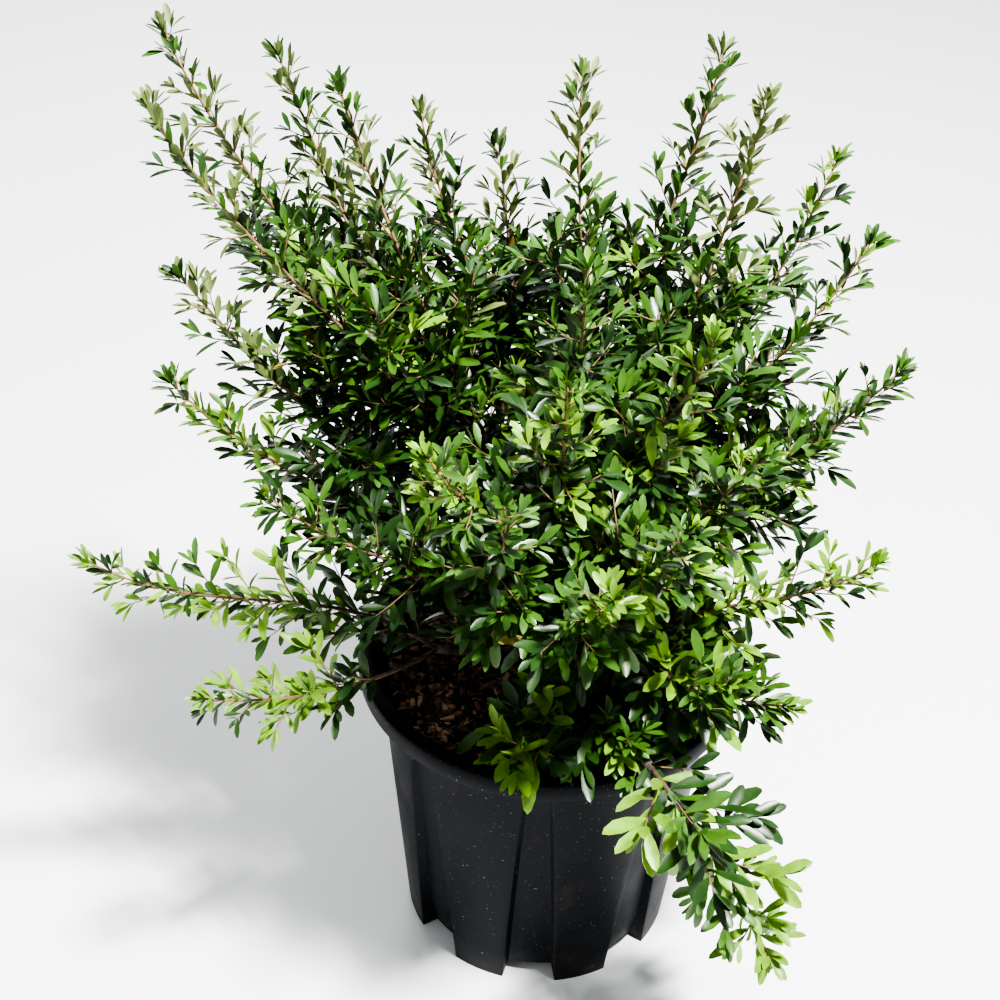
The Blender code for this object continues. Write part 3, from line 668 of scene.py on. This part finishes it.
class Branching:
    """The shrub's limbs, shoots, branches, side twigs and leaves, worked out once for each set of sizes."""

    worked_out = {}

    @classmethod
    def of(cls, settings):
        twig = (settings.node_spacing, settings.side_twig_length)
        leaf = (settings.leaf_spacing, settings.leaf_length)
        if twig + leaf not in cls.worked_out:
            cls.worked_out[twig + leaf] = cls(*twig, *leaf)
        return cls.worked_out[twig + leaf]

    def __init__(self, node_spacing, side_twig_length, leaf_spacing, leaf_length):
        self.node_spacing = node_spacing
        self.side_twig_length = side_twig_length
        self.leaf_spacing = leaf_spacing
        self.leaf_length = leaf_length
        self.draw = random.Random(SEED)
        self.limbs = []
        self.shoots = []
        self.branches = []
        self.side_twigs = []
        self.leaves = {kind: [] for kind in LEAF_GLOSS}
        for place_name, (_, _, tips) in BOUGHS.items():
            path, end_way = bough_path(place_name)
            self.limbs.append(path)
            self.grow_sprays(path, place_name, BOUGH_LEAFY_FROM, BOUGH_FULLNESS)
            points = [place(*tip) for tip in tips]
            for k, (tip, way) in enumerate(zip(points, fork_ways(end_way, points))):
                self.grow_shoot(f"{place_name}_{k + 1}", path[-1] - end_way * SHOOT_SINK, way, tip)

    def leaf_kind(self, shoot, share):
        """The leaves' kind for a spray: young ones at the tips, darker ones inside the crown, and pale
        olive ones towards the tips of the topmost shoots, whose paleness is partly painted top light.
        """
        luck = self.draw.random()
        if shoot.startswith(TOP_LIT_SHOOTS) and luck < share * share * OLIVE_SHARE:
            return "olive"
        if shoot in FRESH_SHOOTS and luck < FRESH_SHARES_ON_FRESH[0] + FRESH_SHARES_ON_FRESH[1] * share:
            return "fresh"
        if luck < FRESH_SHARES[0] + FRESH_SHARES[1] * share * share:
            return "fresh"
        return "mid" if luck < MID_SHARES[0] + MID_SHARES[1] * share else "deep"

    def leaf_angle(self, share, spread):
        return between(LEAF_ANGLE_BASE, LEAF_ANGLE_TIP, share) * self.draw.uniform(*spread)

    def add_leaf(self, kind, foot, way, length):
        """Adds a leaf that faces up and outwards, unless it would touch the pot or hide the bare patch."""
        tip = foot + way * length
        if not (clear(tip) and clear(foot) and clear((foot + tip) / 2)):
            return
        light = (UP + Vector((foot.x, foot.y, 0)) * LEAF_FACES_OUTWARD).normalized()
        scatter = Vector(self.draw.uniform(-1, 1) for _ in range(3))
        light = (light + LEAF_FACES_SPREAD * scatter).normalized()
        across = way.cross(light).normalized()
        turned = Matrix((across, way, across.cross(way))).transposed()
        if self.draw.random() < FADING_SHARE:
            kind = "straw"
        self.leaves[kind].append((foot, turned.to_quaternion(), length))

    def grow_shoot(self, name, start, way, tip):
        to_tip = (tip - start).normalized()
        bend = UP * (SHOOT_LIFT if tip.z > start.z else -SHOOT_DROOP)
        end = tip - to_tip * SHOOT_TIP_SPACE
        path = smooth_path(start, way, end, (to_tip + bend).normalized(), SHOOT_STEPS)
        self.shoots.append(path)
        self.grow_sprays(path, name, SHOOT_LEAFY_FROM, 1)
        turn = self.draw.uniform(0, math.tau)
        if not name.startswith(SLENDER_SHOOTS):
            self.grow_branches(path, name, turn)
        foot, end_way = along(path, 1)
        for k in range(SHOOT_TIP_LEAVES):
            angle = self.draw.uniform(*SHOOT_TIP_ANGLES)
            length = self.leaf_length * self.draw.uniform(*SHOOT_TIP_LENGTHS)
            self.add_leaf(self.leaf_kind(name, 1), foot, around(end_way, angle, k * GOLDEN_TURN), length)

    def grow_branches(self, path, name, turn):
        """A few branches from the lower half of a shoot, shorter the higher they leave it."""
        for share in BRANCH_SHARES:
            foot, path_way = along(path, share)
            turn += GOLDEN_TURN
            way = around(path_way, BRANCH_ANGLE, turn)
            reach = path_length(path) * (1 - share) * BRANCH_REACH
            end = foot + (way + UP * BRANCH_LIFT).normalized() * reach
            if clear(end):
                end_way = (way + UP * BRANCH_TIP_LIFT).normalized()
                branch = smooth_path(foot, way, end, end_way, BRANCH_STEPS)
                self.branches.append(branch)
                self.grow_sprays(branch, name, BRANCH_LEAFY_FROM, BRANCH_FULLNESS)

    def grow_sprays(self, path, name, first, fullness):
        """Nodes follow each other round the path at an even spacing, each with a side twig, shorter
        towards the end, and a few leaves of its own."""
        nodes = max(round(path_length(path) * (1 - first) / self.node_spacing), 1)
        turn = self.draw.uniform(0, math.tau)
        for k in range(nodes):
            share = between(first, 1, (k + 0.5) / nodes)
            age = share if fullness == 1 else INNER_AGE * share
            foot, way = along(path, share)
            turn += GOLDEN_TURN + self.draw.uniform(*NODE_TURNS)
            longest = self.side_twig_length * (1 - age) ** SIDE_TWIG_TAPER
            reach = longest * self.draw.uniform(*SIDE_TWIG_LENGTHS) * fullness
            kind = self.leaf_kind(name, age)
            middling = self.leaf_length * between(*LEAF_LENGTHS_BY_AGE, age)
            length = middling * self.draw.uniform(*SPRAY_LENGTHS)
            if name in BROAD_SHOOTS:
                length *= BROAD_LEAVES
            self.grow_side_twig(kind, foot, way, turn, reach + SIDE_TWIG_SHORTEST, length)
            for i in range(NODE_LEAVES):
                angle = self.leaf_angle(age, NODE_LEAF_ANGLES)
                leaf_way = around(way, angle, turn + NODE_LEAF_TURN * (i + 0.5))
                self.add_leaf(kind, foot, leaf_way, length * self.draw.uniform(*LEAF_LENGTHS))

    def grow_side_twig(self, kind, foot, way, turn, reach, length):
        side = around(way, SIDE_TWIG_ANGLE * self.draw.uniform(*SIDE_TWIG_ANGLES), turn)
        tip_way = (side + UP * SIDE_TWIG_TIP_LIFT).normalized()
        tip = foot + (side + UP * SIDE_TWIG_LIFT).normalized() * reach
        if not (clear(tip) and clear(foot)):
            return
        path = smooth_path(foot, side, tip, tip_way, SIDE_TWIG_STEPS)
        self.side_twigs.append(path)
        leaves = max(round(reach / self.leaf_spacing), TWIG_LEAVES_FEWEST)
        for i in range(leaves):
            share = (i + TWIG_LEAVES_FROM) / leaves
            spot, twig_way = along(path, share)
            angle = self.leaf_angle(share, TWIG_LEAF_ANGLES)
            leaf_way = around(twig_way, angle, i * GOLDEN_TURN + turn)
            self.add_leaf(kind, spot, leaf_way, length * self.draw.uniform(*LEAF_LENGTHS))
        for i in range(TWIG_TIP_LEAVES):
            leaf_way = around(tip_way, self.draw.uniform(*TWIG_TIP_ANGLES), i * NODE_LEAF_TURN + turn)
            self.add_leaf(kind, tip, leaf_way, length * self.draw.uniform(*TWIG_TIP_LENGTHS))


def tubes(name, paths, radii, resolution):
    """One mesh of tapering tubes, each along its own path."""
    curve = bpy.data.curves.new(name, "CURVE")
    curve.dimensions = "3D"
    curve.bevel_depth = 1
    curve.bevel_resolution = resolution
    curve.use_fill_caps = True
    for path in paths:
        spline = curve.splines.new("POLY")
        spline.points.add(len(path) - 1)
        for i, (point, centre) in enumerate(zip(spline.points, path)):
            point.co = (*centre, 1)
            point.radius = radii(i / (len(path) - 1))
    loose = evaluated_mesh(in_scene(name + "_path", curve))
    form = bmesh.new()
    form.from_mesh(loose)
    bpy.data.meshes.remove(loose)
    bmesh.ops.remove_doubles(form, verts=form.verts, dist=1e-6)
    bmesh.ops.recalc_face_normals(form, faces=form.faces)
    mesh = mesh_of(form, name)
    mesh.shade_smooth()
    return mesh


def roughen(mesh, depth, scale):
    """Moves a mesh's points along their normals by a noise that is drawn out along the limbs."""
    normals = [vert.normal.copy() for vert in mesh.vertices]
    for vert, normal in zip(mesh.vertices, normals):
        spot = Vector((vert.co.x, vert.co.y, vert.co.z * RELIEF_DRAWN_OUT)) * scale
        vert.co += normal * depth * noise.fractal(spot, 0.6, 2.1, 4)


def leaf_width(share):
    """Half the leaf's width at a share of its length: narrow at the stalk, broadest past the middle."""
    return 0.5 * LEAF_WIDTH * math.sin(math.pi * share ** LEAF_WIDEST_AT) ** LEAF_BLUNTNESS


def leaf_shape():
    """A leaf one long: two thin halves folded up along the rib, with a tip that curls down."""
    form = bmesh.new()
    rows = []
    for share in LEAF_STATIONS:
        half = leaf_width(share)
        drop = -LEAF_CURL * share * share
        fold = LEAF_FOLD * 2 * half / LEAF_WIDTH
        section = ((-half, drop + fold), (0, drop), (half, drop + fold), (0, drop - LEAF_THICKNESS))
        rows.append([form.verts.new((x, share, z)) for x, z in section])
    stalk = form.verts.new((0, 0, -LEAF_THICKNESS / 2))
    tip = form.verts.new((0, 1, -LEAF_CURL - LEAF_THICKNESS / 2))
    join_rings(form, rows)
    for end, row in ((stalk, rows[0]), (tip, rows[-1])):
        for a, b in zip(row, row[1:] + row[:1]):
            form.faces.new((end, a, b))
    bmesh.ops.recalc_face_normals(form, faces=form.faces)
    mesh = mesh_of(form, "leaf_shape")
    mesh.shade_smooth()
    mesh.set_sharp_from_angle(angle=LEAF_SHARP_ANGLE)
    return bpy.data.objects.new("leaf_shape", mesh)


# Scattered pieces


def scatter_tree():
    """Puts a piece on each point, turned and sized by the points' attributes, as one plain mesh."""
    tree = bpy.data.node_groups.new("scatter", "GeometryNodeTree")
    socket(tree, "Points", "INPUT", "NodeSocketGeometry")
    socket(tree, "Piece", "INPUT", "NodeSocketObject")
    socket(tree, "Finish", "INPUT", "NodeSocketMaterial")
    socket(tree, "Pieces", "OUTPUT", "NodeSocketGeometry")
    nodes, links = tree.nodes, tree.links
    given, made = nodes.new("NodeGroupInput"), nodes.new("NodeGroupOutput")
    piece = nodes.new("GeometryNodeObjectInfo")
    put = nodes.new("GeometryNodeInstanceOnPoints")
    real = nodes.new("GeometryNodeRealizeInstances")
    paint = nodes.new("GeometryNodeSetMaterial")
    turn = nodes.new("GeometryNodeInputNamedAttribute")
    turn.data_type = "QUATERNION"
    turn.inputs["Name"].default_value = "turn"
    size = nodes.new("GeometryNodeInputNamedAttribute")
    size.data_type = "FLOAT"
    size.inputs["Name"].default_value = "size"
    links.new(given.outputs["Points"], put.inputs["Points"])
    links.new(given.outputs["Piece"], piece.inputs["Object"])
    links.new(piece.outputs["Geometry"], put.inputs["Instance"])
    links.new(turn.outputs["Attribute"], put.inputs["Rotation"])
    links.new(size.outputs["Attribute"], put.inputs["Scale"])
    links.new(put.outputs["Instances"], real.inputs["Geometry"])
    links.new(real.outputs["Geometry"], paint.inputs["Geometry"])
    links.new(given.outputs["Finish"], paint.inputs["Material"])
    links.new(paint.outputs["Geometry"], made.inputs["Pieces"])
    return tree


def scattered_mesh(name, spots, shape, finish):
    """One mesh of copies of a shape, one at each spot: its place, its turn and its size."""
    places, turns, sizes = zip(*spots)
    points = bpy.data.meshes.new(name + "_points")
    points.from_pydata([tuple(spot) for spot in places], [], [])
    turn = points.attributes.new("turn", "QUATERNION", "POINT")
    turn.data.foreach_set("value", np.array([tuple(way) for way in turns], np.float32).ravel())
    size = points.attributes.new("size", "FLOAT", "POINT")
    size.data.foreach_set("value", np.array(sizes, np.float32))
    holder = in_scene(name + "_points", points)
    tree = bpy.data.node_groups.get("scatter") or scatter_tree()
    scatter = holder.modifiers.new("scatter", "NODES")
    scatter.node_group = tree
    sockets = {item.name: item.identifier for item in tree.interface.items_tree if item.in_out == "INPUT"}
    scatter[sockets["Piece"]] = shape
    scatter[sockets["Finish"]] = finish
    mesh = evaluated_mesh(holder)
    for spare in ("turn", "size"):
        if spare in mesh.attributes:
            mesh.attributes.remove(mesh.attributes[spare])
    mesh.name = name
    return mesh


# Settings


def colour_property(name, description, default):
    return FloatVectorProperty(
        name=name, description=description, default=default, subtype="COLOR", min=0, max=1
    )


def length_property(name, description, default):
    return FloatProperty(name=name, description=description, default=default, unit="LENGTH")


class FirethornPotSettings(bpy.types.PropertyGroup):
    # The pot's colour is near-black plastic. Its navy tint is painted reflection of a blue sky.
    plastic: colour_property("Plastic", "The pot's own colour", (0.0026, 0.0034, 0.0056))
    dust: colour_property("Dust", "Pale dust on the pot", (0.20, 0.20, 0.19))


class FirethornMulchSettings(bpy.types.PropertyGroup):
    chips: IntProperty(name="Chips", description="How many bark chips lie on the mix", default=5200, min=0)
    chip_length: length_property("Chip length", "Length of a middling chip", 0.0095)
    dark: colour_property("Dark bark", "The oldest chips", (0.018, 0.012, 0.010))
    # The brown and tan are raised in brightness to stand in for sunlight on the mulch, and the tan chips
    # partly stand in for sunlit chips: painted sunlight over the bark's own colours.
    brown: colour_property("Brown bark", "Middling chips", (0.260, 0.125, 0.085))
    tan: colour_property("Tan bark", "Freshly broken chips", (0.560, 0.340, 0.230))


class FirethornShrubSettings(bpy.types.PropertyGroup):
    node_spacing: length_property("Node spacing", "Space between the side twigs of a shoot", 0.0105)
    side_twig_length: length_property("Side twig length", "Length of the longest side twigs", 0.062)
    leaf_spacing: length_property("Leaf spacing", "Space between leaves on a side twig", 0.0062)
    leaf_length: length_property("Leaf length", "Length of a middling leaf", 0.0245)
    deep: colour_property("Deep green", "Old leaves inside the crown", (0.024, 0.066, 0.012))
    mid: colour_property("Mid green", "Grown leaves", (0.062, 0.150, 0.020))
    fresh: colour_property("Fresh green", "Young leaves", (0.190, 0.360, 0.032))
    # Pale olive on the topmost shoots is partly painted top light.
    olive: colour_property("Pale olive", "Small leaves on the topmost shoots", (0.150, 0.205, 0.055))
    straw: colour_property("Straw yellow", "The few fading leaves", (0.420, 0.330, 0.080))


# Operators


class FIRETHORN_OT_pot(bpy.types.Operator):
    """Makes the fluted nursery pot with its turned-over rim"""

    bl_idname = "firethorn.pot"
    bl_label = "Pot"

    def execute(self, context):
        sheet = pot_sheet()
        wall = sheet.modifiers.new("wall", "SOLIDIFY")
        wall.thickness = WALL
        wall.offset = -1
        wall.use_even_offset = True
        edges = sheet.modifiers.new("edges", "BEVEL")
        edges.width = EDGE_ROUND
        edges.segments = 2
        edges.limit_method = "ANGLE"
        edges.angle_limit = EDGE_ANGLE
        mesh = evaluated_mesh(sheet)
        mesh.shade_smooth()
        mesh.set_sharp_from_angle(angle=SHARP_ANGLE)
        finish_piece("nursery_pot", mesh, plastic_material(context.scene.firethorn_pot), ["pot"])
        return {"FINISHED"}


class FIRETHORN_OT_mulch(bpy.types.Operator):
    """Fills the pot with bark mix and strews bark chips over it"""

    bl_idname = "firethorn.mulch"
    bl_label = "Mulch"

    def execute(self, context):
        settings = context.scene.firethorn_mulch
        mix = bark_material("dark_mix", tuple(settings.dark), darker(settings.dark, MIX_DARKER), scale=160)
        finish_piece("mix_bed", mix_bed(), mix, ["potting_mix"])

        draw = random.Random(SEED)
        shapes = [chip_shape(i, draw) for i in range(CHIP_SHAPES)]
        # The brown and tan chips carry painted sunlight as well as the bark's own colours.
        for tone, part in CHIP_TONES.items():
            colour = tuple(getattr(settings, tone))
            finish = bark_material(f"{tone}_bark_chip", colour, darker(colour, CHIP_DARKER), scale=240)
            count = round(settings.chips * part / CHIP_SHAPES)
            for k, shape in enumerate(shapes):
                spots = [chip_spot(draw, settings.chip_length) for _ in range(count)]
                name = f"chips_{tone}_{k + 1}"
                finish_piece(name, scattered_mesh(name, spots, shape, finish), finish)
        for shape in shapes:
            bpy.data.objects.remove(shape)
        return {"FINISHED"}


class FIRETHORN_OT_limbs(bpy.types.Operator):
    """Makes the stem and boughs with the relief of their bark"""

    bl_idname = "firethorn.limbs"
    bl_label = "Stem and boughs"

    def execute(self, context):
        finish = bark_material("old_bark", *OLD_BARK, scale=110)
        path = [stem_point(STEM_HEIGHT * i / STEM_STEPS) for i in range(STEM_STEPS + 1)]
        stem = tubes("stem_bark", [path], stem_radius, resolution=8)
        roughen(stem, *STEM_RELIEF)
        finish_piece("stem_bark", stem, finish, ["stem"])

        def bough_radius(share):
            return between(BOUGH_FOOT_RADIUS, BOUGH_TIP_RADIUS, share) * BOUGH_BARK_SHARE

        limbs = Branching.of(context.scene.firethorn_shrub).limbs
        boughs = tubes("bough_bark", limbs, bough_radius, resolution=4)
        roughen(boughs, *BOUGH_RELIEF)
        finish_piece("bough_bark", boughs, finish, nodes_named("bough_"))
        return {"FINISHED"}


class FIRETHORN_OT_twigs(bpy.types.Operator):
    """Makes the leading shoots, their branches and their side twigs"""

    bl_idname = "firethorn.twigs"
    bl_label = "Shoots and twigs"

    def execute(self, context):
        shrub = Branching.of(context.scene.firethorn_shrub)
        brown = bark_material("shoot_bark", *SHOOT_BARK, scale=150)
        tan = bark_material("young_bark", *YOUNG_BARK, scale=150)
        older = [path[:YOUNG_FROM + 1] for path in shrub.shoots]
        younger = [path[YOUNG_FROM:] for path in shrub.shoots]
        split = YOUNG_FROM / SHOOT_STEPS
        twigs = {
            "shoots": (older, lambda share: between(*SHOOT_RADII, share * split), 1, brown),
            "shoot_ends": (younger, lambda share: between(*SHOOT_RADII, between(split, 1, share)), 1, tan),
            "branches": (shrub.branches, lambda share: between(*BRANCH_RADII, share), 1, brown),
            "side_twigs": (shrub.side_twigs, lambda share: between(*SIDE_TWIG_RADII, share), 0, tan),
        }
        for name, (paths, radii, resolution, finish) in twigs.items():
            mesh = tubes(name, paths, radii, resolution)
            finish_piece(name, mesh, finish, nodes_named("foliage_"))
        return {"FINISHED"}


class FIRETHORN_OT_leaves(bpy.types.Operator):
    """Puts the leaves on the twigs, each kind in pieces of its own"""

    bl_idname = "firethorn.leaves"
    bl_label = "Leaves"

    def execute(self, context):
        settings = context.scene.firethorn_shrub
        shape = leaf_shape()
        for kind, leaves in Branching.of(settings).leaves.items():
            finish = leaf_material(f"leaf_{kind}", getattr(settings, kind), LEAF_GLOSS[kind])
            for number, first in enumerate(range(0, len(leaves), LEAVES_PER_PIECE)):
                name = f"leaves_{kind}_{number + 1}"
                mesh = scattered_mesh(name, leaves[first:first + LEAVES_PER_PIECE], shape, finish)
                finish_piece(name, mesh, finish, nodes_named("foliage_"))
        bpy.data.objects.remove(shape)
        return {"FINISHED"}


class FIRETHORN_OT_stage(bpy.types.Operator):
    """Sets up the pale floor, the soft lights and the camera"""

    bl_idname = "firethorn.stage"
    bl_label = "Stage"

    def execute(self, context):
        form = bmesh.new()
        bmesh.ops.create_grid(form, x_segments=1, y_segments=1, size=FLOOR_REACH)
        floor = in_scene("floor", mesh_of(form, "floor"))
        finish, _, surface = new_material("pale_floor")
        surface.inputs["Base Color"].default_value = FLOOR_COLOUR
        surface.inputs["Roughness"].default_value = 0.9
        floor.data.materials.append(finish)

        world = bpy.data.worlds.new("studio")
        world.use_nodes = True
        sky = world.node_tree.nodes["Background"]
        sky.inputs["Color"].default_value = SKY_COLOUR
        sky.inputs["Strength"].default_value = SKY_STRENGTH
        context.scene.world = world
        context.scene.view_settings.look = "AgX - High Contrast"

        for name, (spot, power, size) in LIGHTS.items():
            light = bpy.data.lights.new(name, "AREA")
            light.energy = power
            light.size = size
            lamp = in_scene(name, light)
            lamp.location = spot
            lamp.rotation_mode = "QUATERNION"
            lamp.rotation_quaternion = (Vector(LIT_POINT) - Vector(spot)).to_track_quat("-Z", "Y")

        camera = bpy.data.cameras.new("photo_view")
        camera.lens = CAMERA_LENS
        camera.sensor_width = 36
        camera.clip_start = 0.05
        viewer = in_scene("photo_view", camera)
        back = -Vector(CAMERA_FORWARD)
        axes = Matrix((Vector(CAMERA_RIGHT), Vector(CAMERA_UP), back)).transposed()
        viewer.matrix_world = Matrix.Translation(CAMERA_PLACE) @ axes.to_4x4()
        context.scene.camera = viewer
        return {"FINISHED"}


class FIRETHORN_PT_panel(bpy.types.Panel):
    """The shrub's settings, with a button for each group of pieces"""

    bl_label = "Firethorn"
    bl_idname = "FIRETHORN_PT_panel"
    bl_space_type = "VIEW_3D"
    bl_region_type = "UI"
    bl_category = "Firethorn"

    def draw(self, context):
        for group in SETTINGS:
            settings = getattr(context.scene, group)
            for name in settings.bl_rna.properties.keys():
                if name not in ("rna_type", "name"):
                    self.layout.prop(settings, name)
        for operator in OPERATORS:
            self.layout.operator(operator.bl_idname)


SETTINGS = {
    "firethorn_pot": FirethornPotSettings,
    "firethorn_mulch": FirethornMulchSettings,
    "firethorn_shrub": FirethornShrubSettings,
}
OPERATORS = (
    FIRETHORN_OT_pot,
    FIRETHORN_OT_mulch,
    FIRETHORN_OT_limbs,
    FIRETHORN_OT_twigs,
    FIRETHORN_OT_leaves,
    FIRETHORN_OT_stage,
)


def register():
    for made in (*SETTINGS.values(), *OPERATORS, FIRETHORN_PT_panel):
        bpy.utils.register_class(made)
    for name, group in SETTINGS.items():
        setattr(bpy.types.Scene, name, PointerProperty(type=group))


def unregister():
    for name in SETTINGS:
        delattr(bpy.types.Scene, name)
    for made in reversed((*SETTINGS.values(), *OPERATORS, FIRETHORN_PT_panel)):
        bpy.utils.unregister_class(made)


def main():
    register()
    bpy.ops.firethorn.pot()
    bpy.ops.firethorn.mulch()
    bpy.ops.firethorn.limbs()
    bpy.ops.firethorn.twigs()
    bpy.ops.firethorn.leaves()
    bpy.ops.firethorn.stage()
    bpy.context.view_layer.update()


if __name__ == "__main__":
    main()
